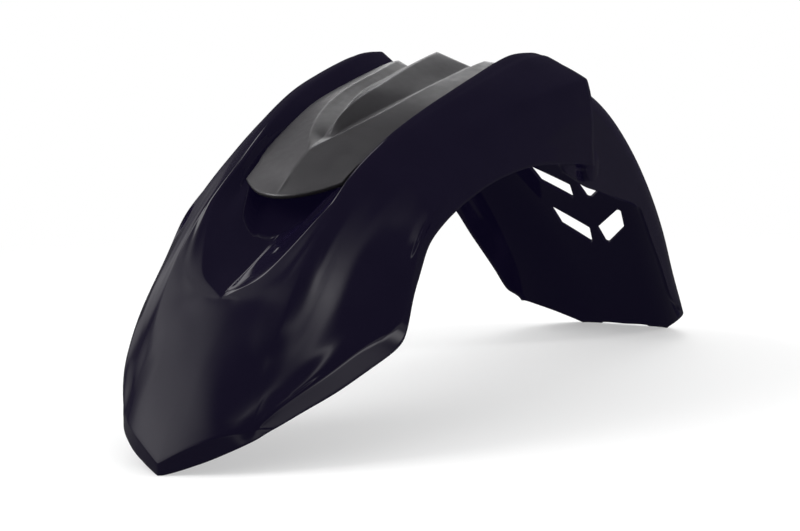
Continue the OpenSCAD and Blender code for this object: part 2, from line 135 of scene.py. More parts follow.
SIDE_Y = [(-62.4, 39), (-56, 38.2), (-51, 38.2), (-45, 40.2), (-40, 41.2), (-34, 41.25), (-30.5, 41.25)]
SIDE_R = [(-62.4, 354.3), (-56, 354.6), (-51, 357.2), (-45.2, 363), (-41, 367), (-34, 369), (-30, 369.6)]
LIP_Y = [(-45.5, 1.5), (-44.9, 5.8), (-43.45, 17.2), (-41.35, 23.8), (-39, 29.2), (-36.6, 33.8), (-34, 37.75),
         (-31.5, 37.8)]
CREST_Y = [(-34, 39.5), (-30.5, 39.5), (-28.8, 40), (-26, 42), (-23, 44.6), (-19, 48.8), (-13.3, 53.9), (-9, 55.6),
           (-4, 56.4), (2.2, 57.5)]
CREST_R = [(-45.5, 365.8), (-40, 366.6), (-34, 368.9), (-28, 369.8), (-19, 372), (-13, 374.2), (-8, 377),
           (-4, 380.8), (0, 385), (3.5, 386.2)]
NOSE_R = [(-62.4, 369.6), (-58, 369.4), (-52, 368), (-45.5, 365.7), (-43.8, 362.2), (-41.4, 356.7), (-37.6, 350.8),
          (-34, 349), (-24, 351), (-10, 357.5), (-0.6, 367.5)]
RIM_Y = [(-30, 32.6), (-28, 34.2), (-22, 37.5), (-15, 39.8), (-10, 40.4), (-5, 39.7), (1, 37.6)]
RIM_R = [(-30, 364.2), (-21, 363.8), (-15, 366), (-9, 368), (-4, 372), (1, 378)]
TIP_R = [(0, 366.8), (4, 364.2), (12, 361.4), (20, 359.7), (27.5, 357.6), (34, 354.6), (40, 350.8), (46, 346)]
TIP_A = [(0, -62.4), (12, -61.4), (20, -60.7), (27.5, -59.9), (34, -58.9), (40, -57.9), (45, -56.7)]
BEVEL_R = [(0, 369.6), (10, 368.8), (20, 367.8), (26, 365), (31, 361), (39, 354.3), (43, 350.8)]


def lean(t):
    """0 where rows run straight across, and 1 at the last row."""
    return clamp((t - LEANING) / (REAR - LEANING)) ** 2


def spread(a, b, n):
    """n even steps from a towards b, b left out."""
    return a + (b - a) * np.arange(n) / n


def across(points, marks, fine, cap, cols):
    """Rounds each row and places its columns.

    points is rows x samples x 3. Each row is resampled evenly along its length s. Point s becomes the
    mean of the row over a bell of width w(s) = min(cap, fine_k + |s - s_k| / 2) over the marks k.
    Columns lie at the given fractions between the marks.
    """
    out = []
    n = 420
    for row, mark, width in zip(points, marks, fine):
        step = np.linalg.norm(np.diff(row, axis=0), axis=1)
        s = np.concatenate([[0], np.cumsum(step)])
        keep = np.concatenate([[True], step > 1e-9])
        q = np.linspace(0, s[-1], n)
        p = np.stack([np.interp(q, s[keep], row[keep, c]) for c in range(3)], -1)
        at = s[mark]
        w = np.full(n, float(cap))
        for a, f in zip(at, width):
            w = np.minimum(w, f + 0.5 * np.abs(q - a))
        w = np.minimum(w, 0.05 + 0.5 * (s[-1] - q))
        m = n // 3
        left = p[m:0:-1] * [1, -1, 1]
        right = 2 * p[-1] - p[-2:-m - 2:-1]
        qe = np.concatenate([-q[m:0:-1], q, 2 * q[-1] - q[-2:-m - 2:-1]])
        pe = np.concatenate([left, p, right])
        k = np.exp(-0.5 * ((q[:, None] - qe[None]) / w[:, None]) ** 2)
        p = (k @ pe) / k.sum(1)[:, None]
        pos = []
        for a, b, f in zip(at[:-1], at[1:], cols):
            pos.append(a + (b - a) * f)
        pos = np.concatenate(pos + [[at[-1]]])
        out.append(np.stack([np.interp(pos, q, p[:, c]) for c in range(3)], -1))
    return np.array(out)


def along(g, sharp, cap):
    """Rounds each column of the grid g the same way; sharp is rows x columns, the least width there."""
    d = np.linalg.norm(np.diff(g, axis=0), axis=2)
    s = np.concatenate([np.zeros((1, g.shape[1])), np.cumsum(d, 0)])
    out = g.copy()
    for j in range(g.shape[1]):
        q = s[:, j]
        w = np.min(sharp[:, j][None] + 0.5 * np.abs(q[:, None] - q[None]), 1)
        w = np.minimum(np.minimum(w, cap), np.minimum(0.03 + 0.5 * q, 0.03 + 0.5 * (q[-1] - q)))
        m = 40
        qe = np.concatenate([-q[m:0:-1], q, 2 * q[-1] - q[-2:-m - 2:-1]])
        pe = np.concatenate([2 * g[0, j] - g[m:0:-1, j], g[:, j], 2 * g[-1, j] - g[-2:-m - 2:-1, j]])
        e = np.gradient(qe)
        k = np.exp(-0.5 * ((q[:, None] - qe[None]) / w[:, None]) ** 2) * e[None]
        out[:, j] = (k @ pe) / k.sum(1)[:, None]
    return out


def mirror(g):
    """A half grid, centre column first, made whole about y = 0."""
    return np.concatenate([g[:, :0:-1] * [1, -1, 1], g], 1)


def normals(g):
    """Unit normals of a grid from its row and column differences."""
    du = np.gradient(g, axis=0)
    dv = np.gradient(g, axis=1)
    n = np.cross(du, dv)
    return n / np.maximum(np.linalg.norm(n, axis=2, keepdims=True), 1e-12)


def blur(g, times):
    """Each inner point moved towards its neighbours' mean, times over."""
    g = g.copy()
    for _ in range(times):
        g[1:-1] += 0.25 * (g[2:] - 2 * g[1:-1] + g[:-2])
        g[:, 1:-1] += 0.25 * (g[:, 2:] - 2 * g[:, 1:-1] + g[:, :-2])
    return g


def shell(g, wall, lip=0.5, easing=0):
    """Closed sheet of a grid: outer side g, inner side g - wall n, and a rim bowed out by lip round the edge."""
    n, m = g.shape[:2]
    base = blur(g, easing) if easing else g
    inner = base - wall * normals(base)
    inner[..., 2] = np.maximum(inner[..., 2], 0)
    ring = [(0, j) for j in range(m)] + [(i, m - 1) for i in range(1, n)] + [(n - 1, j) for j in range(m - 2, -1, -1)]
    ring += [(i, 0) for i in range(n - 2, 0, -1)]
    ri = np.array(ring)
    o, q = g[ri[:, 0], ri[:, 1]], inner[ri[:, 0], ri[:, 1]]
    a = np.clip(ri[:, 0], 1, n - 2), np.clip(ri[:, 1], 1, m - 2)
    out = o - g[a[0], a[1]]
    nn = normals(g)[ri[:, 0], ri[:, 1]]
    out -= np.sum(out * nn, 1)[:, None] * nn
    out /= np.maximum(np.linalg.norm(out, axis=1), 1e-9)[:, None]
    k = 3
    rows = [o + (q - o) * u + out * lip * np.sin(np.pi * u) ** 0.7 for u in np.arange(1, k + 1) / (k + 1)]
    for r in rows:
        r[:, 2] = np.maximum(r[:, 2], 0)
    verts = np.concatenate([g.reshape(-1, 3), inner.reshape(-1, 3)] + rows)
    i, j = np.meshgrid(np.arange(n - 1), np.arange(m - 1), indexing="ij")
    v = (i * m + j).ravel()
    top = np.stack([v, v + m, v + m + 1, v + 1], 1)
    low = top[:, ::-1] + n * m
    r = len(ri)
    rid = ri[:, 0] * m + ri[:, 1]
    levels = [rid] + [2 * n * m + c * r + np.arange(r) for c in range(k)] + [rid + n * m]
    side = []
    for a, b in zip(levels[:-1], levels[1:]):
        side.append(np.stack([a, np.roll(a, -1), np.roll(b, -1), b], 1))
    return verts, np.concatenate([top, low] + side)


def build(name, parts, sharp=None):
    """One mesh object from lists of vertices in mm and quads."""
    vs, fs, base = [], [], 0
    for v, f in parts:
        vs.append(v)
        fs.append(f + base)
        base += len(v)
    v = np.concatenate(vs) * MM
    f = np.concatenate(fs)
    me = bpy.data.meshes.new(name)
    me.vertices.add(len(v))
    me.vertices.foreach_set("co", v.astype(np.float32).ravel())
    me.loops.add(f.size)
    me.loops.foreach_set("vertex_index", f.astype(np.int32).ravel())
    me.polygons.add(len(f))
    me.polygons.foreach_set("loop_start", (np.arange(len(f)) * f.shape[1]).astype(np.int32))
    me.update(calc_edges=True)
    me.validate()
    me.polygons.foreach_set("use_smooth", np.ones(len(me.polygons), bool))
    if sharp:
        me.set_sharp_from_angle(angle=np.radians(sharp))
    ob = bpy.data.objects.new(name, me)
    bpy.context.scene.collection.objects.link(ob)
    return ob


def clustered(n, ends=1.6):
    """n fractions from 0 towards 1, closer together at both ends."""
    u = np.arange(n) / n
    e = 0.5 - 0.5 * np.cos(np.pi * u)
    return u + (e - u) * (ends - 1)


def own(t, start):
    """A lower line's own angle for row t: squeezed to begin at start, and t itself behind the skirt's corner."""
    return np.where(t < SKIRT, start + (SKIRT - start) * clamp((t - FIRST) / (SKIRT - FIRST)), t)


def front_shell():
    """The front shell as a grid: rows by the centre's angle t, columns from the centre to the lower edge.

    Between the feature lines a row runs straight, but for the front facet r0 - (r0 - rk)(y / yk)^3, the
    crest's half sine and the cheek's bow. All corners are then rounded by the bell of across() and along().
    """
    t = np.concatenate([spread(FIRST, APEX - 0.3, 46), spread(APEX - 0.3, -43.5, 14),
                        spread(-43.5, -29, 50), np.linspace(-29, REAR, 74)])
    skew = SKEW * (1 - ease((t - FIRST) / 14))
    d = lean(t)
    flat = t < APEX
    crested = t > CRESTED
    hold = ease((t + 39) / 9)
    grow = ease((t + 36) / 36)
    w = 3.5 + 9.5 * grow
    tc = t + d * 4.1
    tr = t + d * SWEEP * RIM_AT / PANEL
    r0 = curve(NOSE_R, t)
    yk = np.where(crested, curve(CREST_Y, tc) + w / 2, curve(SIDE_Y, t))
    rk = np.where(crested, curve(CREST_R, tc) - (0.1 + 0.17 * grow) * w, curve(SIDE_R, t))

    def facet(y):
        """The front facet's radius at half widths y, one or a row of them for each t."""
        c = (slice(None),) + (None,) * (y.ndim - 1)
        return r0[c] - (r0 - rk)[c] * np.abs(y / yk[c]) ** 3

    yc = np.where(crested, curve(CREST_Y, tc) - w / 2, curve(LIP_Y, t))
    yc = np.where(flat, 6 - 4.5 * ease((t - FIRST) / (APEX - FIRST)), yc)
    rc = np.where(flat, facet(yc), curve(CREST_R, tc) - 0.13 * w * ease((t + 37) / 3))
    arm_t = own(t, ARM_FROM) + d * SWEEP
    bead_t = own(t, BEAD_FROM) + d * (RAKE - 0.6)
    edge_t = own(t, EDGE_FROM) + d * RAKE
    arm = np.stack([arm_t, soft(ARM_Y, arm_t), soft(ARM_R, arm_t)], -1)
    bead = np.stack([bead_t, soft(BEAD_Y, bead_t, 0.8), soft(BEAD_R, bead_t, 0.6)], -1)
    edge = np.stack([edge_t, soft(EDGE_Y, edge_t, 0.8), soft(EDGE_R, edge_t, 0.45)], -1)
    bed = np.minimum(curve(RIM_R, tr) - 2.75, rc - 1)

    def floor_r(y):
        """Radius of the unsunk channel's floor."""
        return np.where(flat, facet(y), r0 + (rc - r0) * y / yc)

    def point(y, r):
        return np.stack([t + skew * y + d * SWEEP * y / PANEL, y, r], -1)

    rim = curve(RIM_Y, tr)
    yw = yc * 0.8 + (rim + 1.2 - yc * 0.8) * hold
    ys = yc * 0.55 + (rim - 4.8 - yc * 0.55) * hold
    yf = yc * 0.25 + (rim - 8.5 - yc * 0.25) * hold
    # Across the row: the centre, three marks that sink the channel to the cover's bed, the crest's feet, arm, bead, edge
    marks = [point(0 * t, r0), point(yf, floor_r(yf) + (r0 - floor_r(yf)) * hold),
             point(ys, floor_r(ys) + (bed - floor_r(ys)) * hold), point(yw, floor_r(yw) + (bed - floor_r(yw)) * hold),
             point(yc, rc), point(yk, rk), arm, bead, edge]
    bow = (1.5 - 0.7 * ease((t + 22) / 16)) * clamp((arm[:, 1] - yk) / 34) ** 2.5
    n = 30
    u = (np.arange(n) / n)[None]
    crest, cheek, turned = 4, 5, 6
    rows = []
    for i, (a, c) in enumerate(zip(marks[:-1], marks[1:])):
        seg = a[:, None] + (c - a)[:, None] * u[..., None]
        if i == crest:
            arc = seg[..., 2] + (0.13 * w)[:, None] * np.sin(np.pi * u)
            mid = rc[:, None] + (rk - rc)[:, None] * u ** (3 - ease((t - APEX) / 6))[:, None]
            seg[..., 2] = np.where(crested[:, None], arc, mid)
        if i <= crest:
            seg[..., 2] = np.where(flat[:, None], facet(seg[..., 1]), seg[..., 2])
        if i == cheek:
            seg[..., 2] += bow[:, None] * np.sin(np.pi * u)
        if i == turned:
            turn = np.interp(u[0], [0, 0.13, 0.32, 0.66, 1], [0, 0.23, 0.62, 0.85, 1])
            seg[..., 0] = arm_t[:, None] + (bead_t - arm_t)[:, None] * turn[None]
            seg[..., 1] += 0.5 * np.sin(np.pi * u)
        rows.append(seg)
    rows.append(marks[-1][:, None])
    pts = world(np.concatenate(rows, 1))

    def nose_line(bevel):
        """The upper (bevel) or lower line of the turned edge round the nose, divided as the rows are."""
        ends = [0, 1.5, 3, 4.5, 6, 39, 41] + ([43, 47.5] if bevel else [44, 45])
        y = np.concatenate([spread(a, c, n) for a, c in zip(ends[:-1], ends[1:])] + [ends[-1:]])
        if not bevel:
            return world(np.stack([curve(TIP_A, y), y, curve(TIP_R, y)], -1))
        r = np.where(y > 43, 350.8 - (y - 43) * 5.6 / 4.5, curve(BEVEL_R, y))
        return world(np.stack([FIRST + SKEW * y, y, r], -1))

    # The rows ahead of the first one: over the turned edge, its upper line, and two that lead over to row 1
    low, high = nose_line(False), nose_line(True)
    steps = np.array([0, 0.16, 0.34, 0.52, 0.68, 0.8, 0.88, 0.94])
    ahead = low[None] + (high - low)[None] * steps[:, None, None]
    lead = high[None] + (pts[1] - high)[None] * np.array([0.3, 0.65])[:, None, None]
    pts = np.concatenate([ahead, high[None], lead, pts[1:]])
    total = len(pts)
    tt = np.concatenate([np.full(total - len(t) + 1, FIRST), t[1:]])

    # Rounding of each mark across the rows in mm; blunt leaves no corner
    blunt = 12
    fine = np.zeros((total, len(marks)))
    fine[:, 0] = np.where(tt < APEX, blunt, 0.7 + 11 * ease((tt + 37) / 5))
    fine[:len(steps) + 4, 0] = [1.6] * 9 + [3, 5, 8]
    for mark, width in ((1, 2.5), (2, 1.2), (3, 0.8)):
        fine[:, mark] = np.where(tt < -39, blunt, width)
    fine[:, 4] = np.where(tt < APEX, blunt, 0.55 + 1.6 * ease((tt + 32) / 20))
    fine[:, 5] = 3.2 + 2 * ease((tt + 30) / 20) + 7 * (1 - ease((tt + 57) / 10))
    fine[:, 6] = blunt - 10.5 * ease((tt + 14) / 12)
    fine[:, 7] = 1.1
    fine[:, 8] = 0.05
    cols = [clustered(4), clustered(4), clustered(3), clustered(10, 1.5), clustered(18, 1.7), clustered(18, 1.3),
            clustered(20, 1.5), clustered(5, 1.3)]
    g = across(pts, np.repeat(np.arange(len(marks))[None] * n, total, 0), fine, 11, cols)

    # Rounding along the columns: crisp at the nose, the channel's point and the skirt's corner, wide on the cheek
    sharp = np.full(g.shape[:2], 3.5)
    sharp[len(steps)] = 0.9
    near = np.exp(-((tt - APEX) / 1.2) ** 2)[:, None]
    col = np.arange(g.shape[1])[None]
    sharp = np.where(col < 26, sharp * (1 - 0.85 * near), sharp)
    skirt = np.exp(-((tt - SKIRT) / 1.5) ** 2)[:, None]
    sharp = np.where(col > 74, sharp * (1 - 0.7 * skirt), sharp)
    on_cheek = ease((col - 40) / 8) * ease((72 - col) / 8)
    sharp = sharp + 11 * on_cheek * (sharp > 3)
    g = along(g, sharp, 15)
    g[:, 0, 1] = 0
    return mirror(g)


REAR_W = [(-3, 82.6), (1, 84.1), (5, 83.5), (13, 80), (22, 76.8), (33, 73.2), (42, 70), (50, 66.8), (62.3, 66)]
REAR_C = [(-3, 9), (5, 11.5), (13, 18), (24, 28), (33, 34), (50, 41), (62.3, 45)]
REAR_R = [(-3, 366), (12, 366), (26, 363.8), (38, 361.7), (48, 361), (56, 363.6), (62.3, 366.86)]
REAR_E = [(-3, 316.5), (0.4, 315), (2, 309.5), (7.5, 303.5), (12, 302.5), (20.8, 306.9), (29, 318), (30.4, 319.6),
          (33.2, 317.6), (38.5, 314.6), (46.5, 316), (50.5, 318.8), (54.5, 329.6), (62.3, 329.6)]
FOOT_Z = [(0, 2.6), (18.5, 2.6), (21.5, 0), (34, 0), (37, 2.4), (48, 9), (60, 17), (66, 22.5)]


def rear_shell():
    """The tail: each row is a crown of radius r(a), a quarter turn of radius c(a) and a side wall down to e(a).

    Row angles past FOLD are stretched so that the last row ends on the foot line z(y).
    """
    def half(a):
        """Half widths and radii across the rows a, from the centre to the lower edge."""
        w, c, r = soft(REAR_W, a, 0.8), soft(REAR_C, a, 1.5), soft(REAR_R, a, 1)
        e = curve(REAR_E, np.minimum(a, 54.5))
        f = w - c
        turn = np.where(e + 3 > r - c, np.arccos(np.clip(1 - (r - e - 3) / c, -1, 1)), np.pi / 2)
        y = [f * u for u in np.arange(14) / 14]
        q = [r + 0 * f for _ in range(14)]
        for u in np.arange(0, 25) / 24:
            y.append(f + c * np.sin(turn * u))
            q.append(r - c * (1 - np.cos(turn * u)))
        y1, q1 = y[-1], q[-1]
        for u in np.arange(1, 13) / 12:
            y.append(y1)
            q.append(q1 + (e - q1) * u)
        return np.stack(y, -1), np.stack(q, -1)

    last_y, last_r = half(np.array([TAIL_END]))
    end = np.degrees(np.arccos((curve(FOOT_Z, last_y[0]) + DROP) / last_r[0]))
    a = np.concatenate([np.linspace(TAIL_FROM, FOLD, 74, endpoint=False), np.linspace(FOLD, TAIL_END, 70)])
    grid = np.empty((len(a), last_y.shape[1], 3))
    for j in range(last_y.shape[1]):
        own_a = np.where(a <= FOLD, a, FOLD + (a - FOLD) * (end[j] - FOLD) / (TAIL_END - FOLD))
        y, r = half(own_a)
        grid[:, j] = np.stack([own_a, y[:, j], r[:, j]], -1)
    return mirror(world(grid))


FIN_R = [(-22.9, 366.5), (-21.2, 371.7), (-19.4, 373.5), (-15.4, 374.7), (-11.3, 375.2), (-5.8, 379.4),
         (-0.6, 384.8)]
RIDGE_Y = [(-26.9, 0.8), (-25.5, 4.3), (-22.6, 12.2), (-19.3, 19), (-15.2, 24), (-10.4, 26.8), (-5, 28.3),
           (0.3, 30.5)]
RIDGE_R = [(-33.5, 368.3), (-26.9, 370.8), (-22.6, 370.3), (-17, 369.7), (-10.4, 371.1), (-5, 373.6), (0.3, 379)]
NOSE_RIM = [(0, 368.3), (8, 368), (13, 367.3), (20, 366.2), (28, 364.7), (33, 364.2)]


def cover_shell():
    """The cover: ridge lines that split behind the nose, a tent-shaped fin between them and slopes down to the rim."""
    t = np.concatenate([spread(NOSE_FROM, -29, 22), spread(-29, -20, 40), np.linspace(-20, REAR, 58)])
    bent = 0.0032 * (1 - ease((t - NOSE_FROM) / 10))
    d = lean(t)
    tr = t + d * RIM_SWEEP
    front = t < RIM_FROM
    u = (t - NOSE_FROM) / (RIM_FROM - NOSE_FROM)
    rimmed = ease(u)
    w = np.where(front, 31.4 + 1.2 * u, curve(RIM_Y, tr))
    rq = np.where(front, curve(NOSE_RIM, w) + (curve(RIM_R, RIM_FROM) - curve(NOSE_RIM, w)) * u, curve(RIM_R, tr))
    yr = np.where(t < SPLIT, 0.8, curve(RIDGE_Y, t + d * 0.9))
    rr = curve(RIDGE_R, t + d * 0.9)
    dip = rr + (366.5 - rr) * ease((t - SPLIT) / 4)
    fin = np.where(t > FIN_FROM, curve(FIN_R, t), dip)
    yv = yr * (0.3 + 0.44 * ease((t - FIN_FROM) / 14))
    rv = np.where(t > FIN_FROM, rr - 3.8, dip)
    n = 24
    f = (np.arange(n) / n)[None]
    ys, rs = [], []
    for (y0, r0), (y1, r1) in (((0 * yv, fin), (yv, rv)), ((yv, rv), (yr, rr)), ((yr, rr), (w, rq))):
        ys.append(y0[:, None] + (y1 - y0)[:, None] * f)
        rs.append(r0[:, None] + (r1 - r0)[:, None] * f)
    ys = np.concatenate(ys + [w[:, None]], 1)
    rs = np.concatenate(rs + [rq[:, None]], 1)
    edge = curve(NOSE_RIM, ys)
    outer = ys >= yr[:, None]
    rs = np.where(outer, edge + (rs - edge) * rimmed[:, None], rs)
    ts = t[:, None] + bent[:, None] * ys * ys + d[:, None] * RIM_SWEEP * np.abs(ys / 40.4) ** 1.8
    pts = world(np.stack([ts, ys, rs], -1))
    fine = np.repeat(np.array([[0.5, 0.6, 0.45, 0.05]]), len(t), 0)
    marks = np.repeat(np.array([[0, n, 2 * n, 3 * n]]), len(t), 0)
    g = across(pts, marks, fine, 3, [clustered(9), clustered(9), clustered(26, 1.5)])
    g = along(g, np.full(g.shape[:2], 1.0), 1.0)
    g[:, 0, 1] = 0
    return mirror(g)


def rod(x, y0, y1, z, r, n=64, fillet=0.6, bore=3.2, deep=9):
    """A round boss along Y from y0 to y1 with rounded edges and a blind bore in its y0 end."""
    way = np.sign(y1 - y0)
    prof = [(0, y0 + way * deep), (bore, y0 + way * deep), (bore, y0), (r - fillet, y0),
            (r - 0.3 * fillet, y0 + way * 0.3 * fillet), (r, y0 + way * fillet),
            (r, y1 - way * fillet), (r - 0.3 * fillet, y1 - way * 0.3 * fillet), (r - fillet, y1), (0, y1)]
    a = np.linspace(0, 2 * np.pi, n, endpoint=False)
    v = np.array([[x + max(p, 1e-3) * np.cos(b), q, z + max(p, 1e-3) * np.sin(b)] for p, q in prof for b in a])
    i, j = np.meshgrid(np.arange(len(prof) - 1) * n, np.arange(n), indexing="ij")
    i, j, k = i.ravel(), j.ravel(), (j.ravel() + 1) % n
    f = np.stack([i + j, i + k, i + n + k, i + n + j], 1)
    return v, f if y1 < y0 else f[:, ::-1]


def slot_cutter(a, side):
    """A slanted four-cornered prism, its corners rounded by r, along the crown's normal at the slot's middle.

    The slot begins at row angle a and lies between half widths 3 and 27.8.
    """
    mid = a + 3.3 / 2 + 3.2 / 2
    r = 1.8
    i = 70 * r / CROWN
    near, wide = 3, 27.8
    c = [(a + i, wide - r), (a + 3.5 - i, wide - r - 2.4), (a + 6.3 - i, near + r + 2), (a + 3.3 + i, near + r)]
    c = [(CROWN * np.sin(np.radians(p - mid)), side * q) for p, q in c]
    order = c[::-1] if side > 0 else c
    out = []
    m = len(order)
    for j in range(m):
        p, q, s = np.array(order[j - 1]), np.array(order[j]), np.array(order[(j + 1) % m])
        d0, d1 = (q - p) / np.linalg.norm(q - p), (s - q) / np.linalg.norm(s - q)
        n0, n1 = np.array([d0[1], -d0[0]]), np.array([d1[1], -d1[0]])
        turn = np.arctan2(n0[0] * n1[1] - n0[1] * n1[0], n0 @ n1)
        for u in np.linspace(0, 1, 9):
            b = np.arctan2(n0[1], n0[0]) + turn * u
            out.append(q + r * np.array([np.cos(b), np.sin(b)]))
    out = np.array(out)
    n = len(out)
    v = np.concatenate([np.column_stack([out, np.full(n, h)]) for h in (CROWN - 20, CROWN + 12)])
    b = np.radians(mid)
    x, z = v[:, 0].copy(), v[:, 2].copy()
    v[:, 0], v[:, 2] = x * np.cos(b) + z * np.sin(b), -x * np.sin(b) + z * np.cos(b) - DROP
    faces = [list(range(n))[::-1], list(range(n, 2 * n))]
    faces += [[j, (j + 1) % n, n + (j + 1) % n, n + j] for j in range(n)]
    me = bpy.data.meshes.new("cutter")
    me.from_pydata((v * MM).tolist(), [], faces)
    ob = bpy.data.objects.new("cutter", me)
    bpy.context.scene.collection.objects.link(ob)
    return ob


def cut(ob, tools):
    """The object less the tools, as a plain mesh; the tools are removed."""
    for tool in tools:
        m = ob.modifiers.new("cut", "BOOLEAN")
        m.operation = "DIFFERENCE"
        m.solver = "EXACT"
        m.object = tool
    dg = bpy.context.evaluated_depsgraph_get()
    new = bpy.data.meshes.new_from_object(ob.evaluated_get(dg))
    ob.modifiers.clear()
    old = ob.data
    ob.data = new
    new.name = old.name
    bpy.data.meshes.remove(old)
    for tool in tools:
        me = tool.data
        bpy.data.objects.remove(tool)
        bpy.data.meshes.remove(me)
    return ob


front = build("body_front", [shell(front_shell(), WALL, 0.5, 6)])
tail = build("body_tail", [shell(rear_shell(), WALL, 0.4)])
tail = cut(tail, [slot_cutter(a, s) for a in SLOTS for s in (1, -1)])
tail.data.polygons.foreach_set("use_smooth", np.ones(len(tail.data.polygons), bool))
tail.data.set_sharp_from_angle(angle=np.radians(35))
bosses = build("body_bosses", [rod(BOSS_X, s * BOSS_IN, s * BOSS_OUT, BOSS_Z, BOSS_R) for s in (-1, 1)], 40)
cover = build("centre_cover", [shell(cover_shell(), COVER_WALL, 0.35)])


def tree(mat):
    """The material's emptied node tree with an output node."""
    mat.use_nodes = True
    nt = mat.node_tree
    nt.nodes.clear()
    return nt, nt.nodes.new("ShaderNodeOutputMaterial")


def noise(nt, scale, detail=2.0):
    """Noise on the object's own coordinates, in cells of 1/scale metres; gives its value socket."""
    place = nt.nodes.new("ShaderNodeTexCoord")
    n = nt.nodes.new("ShaderNodeTexNoise")
    n.inputs["Scale"].default_value = scale
    n.inputs["Detail"].default_value = detail
    nt.links.new(place.outputs["Object"], n.inputs["Vector"])
    return n.outputs["Fac"]


def ranged(nt, value, low, high):
    """A noise value of 0.3 to 0.7 stretched to low to high."""
    n = nt.nodes.new("ShaderNodeMapRange")
    n.inputs["From Min"].default_value = 0.3
    n.inputs["From Max"].default_value = 0.7
    n.inputs["To Min"].default_value = low
    n.inputs["To Max"].default_value = high
    nt.links.new(value, n.inputs["Value"])
    return n.outputs["Result"]


def bump(nt, height, depth, strength=1.0):
    """A bump of the given depth in metres; gives its normal socket."""
    n = nt.nodes.new("ShaderNodeBump")
    n.inputs["Strength"].default_value = strength
    n.inputs["Distance"].default_value = depth
    nt.links.new(height, n.inputs["Height"])
    return n.outputs["Normal"]


def tint(nt, value, dark, light):
    """A colour between dark and light by a noise value."""
    n = nt.nodes.new("ShaderNodeMix")
    n.data_type = "RGBA"
    n.inputs["A"].default_value = (*dark, 1)
    n.inputs["B"].default_value = (*light, 1)
    nt.links.new(ranged(nt, value, 0.0, 1.0), n.inputs["Factor"])
    return n.outputs["Result"]


def gloss_black():
    """Polished black plastic: a dark, slightly violet base under a gloss with a faint unevenness and haze, and a faint
    painted bluish glow standing in for bounce light.
    """
    mat = bpy.data.materials.new("gloss_black")
    nt, out = tree(mat)
    b = nt.nodes.new("ShaderNodeBsdfPrincipled")
    nt.links.new(tint(nt, noise(nt, 35.0), (0.0040, 0.0032, 0.0062), (0.0050, 0.0040, 0.0078)), b.inputs["Base Color"])
    nt.links.new(ranged(nt, noise(nt, 90.0, 4.0), 0.045, 0.085), b.inputs["Roughness"])
    nt.links.new(bump(nt, noise(nt, 420.0, 3.0), 0.000004), b.inputs["Normal"])
    b.inputs["IOR"].default_value = 1.5
    # A faint painted glow over the whole surface stands in for bounce light, so the unlit hollows read bluish rather
    # than black
    b.inputs["Emission Color"].default_value = (0.0021, 0.0014, 0.0074, 1)
    b.inputs["Emission Strength"].default_value = 1.0
    nt.links.new(b.outputs["BSDF"], out.inputs["Surface"])
    return mat


def matt_grey():
    """Fine-grained matt plastic: a soft grain in the normal, the roughness and the colour."""
    mat = bpy.data.materials.new("matt_grey")
    nt, out = tree(mat)
    b = nt.nodes.new("ShaderNodeBsdfPrincipled")
    nt.links.new(tint(nt, noise(nt, 70.0, 6.0), (0.024, 0.023, 0.025), (0.030, 0.029, 0.031)), b.inputs["Base Color"])
    nt.links.new(ranged(nt, noise(nt, 160.0, 5.0), 0.36, 0.46), b.inputs["Roughness"])
    nt.links.new(bump(nt, noise(nt, 1500.0, 3.0), 0.00006, 0.6), b.inputs["Normal"])
    nt.links.new(b.outputs["BSDF"], out.inputs["Surface"])
    return mat


black, grey = gloss_black(), matt_grey()
for ob, mat, name, node in ((front, black, "gloss_black", "body"), (tail, black, "gloss_black", "body"),
                            (bosses, black, "gloss_black", "body"), (cover, grey, "matt_grey", "centre_cover")):
    ob.data.materials.clear()
    ob.data.materials.append(mat)
    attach(ob, "root")
    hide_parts(node)


DIM = 0.042  # radiance of the room where nothing else is reflected
FILL = 0.8  # light of the room on matt surfaces
LIT = 0.4  # share of plain white in the floor beneath the part
STAGE = (0.12, -0.05, 0)  # middle of the floor that takes shadows, which fades into white over the next two radii
FADE_FROM, FADE_TO = 0.45, 0.95
# Patches of floor seen in the gloss: centre and radii in metres, radiance, edge
PATCHES = [
    ((-0.27, -0.27), (0.14, 0.14), 0.43, 3.0),
    ((-0.57, 0.56), (0.31, 0.36), 0.55, 0.8),
    ((-0.05, -0.73), (0.32, 0.39), 0.33, 1.7),
    ((-0.12, -0.34), (0.14, 0.065), 1.4, 2.0),
]


def math_node(nt, op, a, b=None):
    """A Math node fed by sockets or numbers; gives its output socket."""
    n = nt.nodes.new("ShaderNodeMath")
    n.operation = op
    for k, x in enumerate((a, b)):
        if x is None:
            continue
        if isinstance(x, (int, float)):
            n.inputs[k].default_value = x
        else:
            nt.links.new(x, n.inputs[k])
    return n.outputs[0]


def bell(nt, centre, radii, edges=(1.0, 1.0), bend=0.0):
    """exp(-(u/a)^2p - (v/b)^2q) about a centre in the object's own XY plane, where v is y less bend * u^2.

    Higher edges p and q are crisper.
    """
    place = nt.nodes.new("ShaderNodeTexCoord")
    split = nt.nodes.new("ShaderNodeSeparateXYZ")
    nt.links.new(place.outputs["Object"], split.inputs[0])
    u = math_node(nt, "SUBTRACT", split.outputs["X"], centre[0])
    v = math_node(nt, "SUBTRACT", split.outputs["Y"], centre[1])
    v = math_node(nt, "SUBTRACT", v, math_node(nt, "MULTIPLY", math_node(nt, "MULTIPLY", u, u), bend))
    terms = []
    for w, r, edge in zip((u, v), radii, edges):
        d = math_node(nt, "DIVIDE", w, r)
        terms.append(math_node(nt, "POWER", math_node(nt, "MULTIPLY", d, d), edge))
    return math_node(nt, "EXPONENT", math_node(nt, "MULTIPLY", math_node(nt, "ADD", *terms), -1.0))


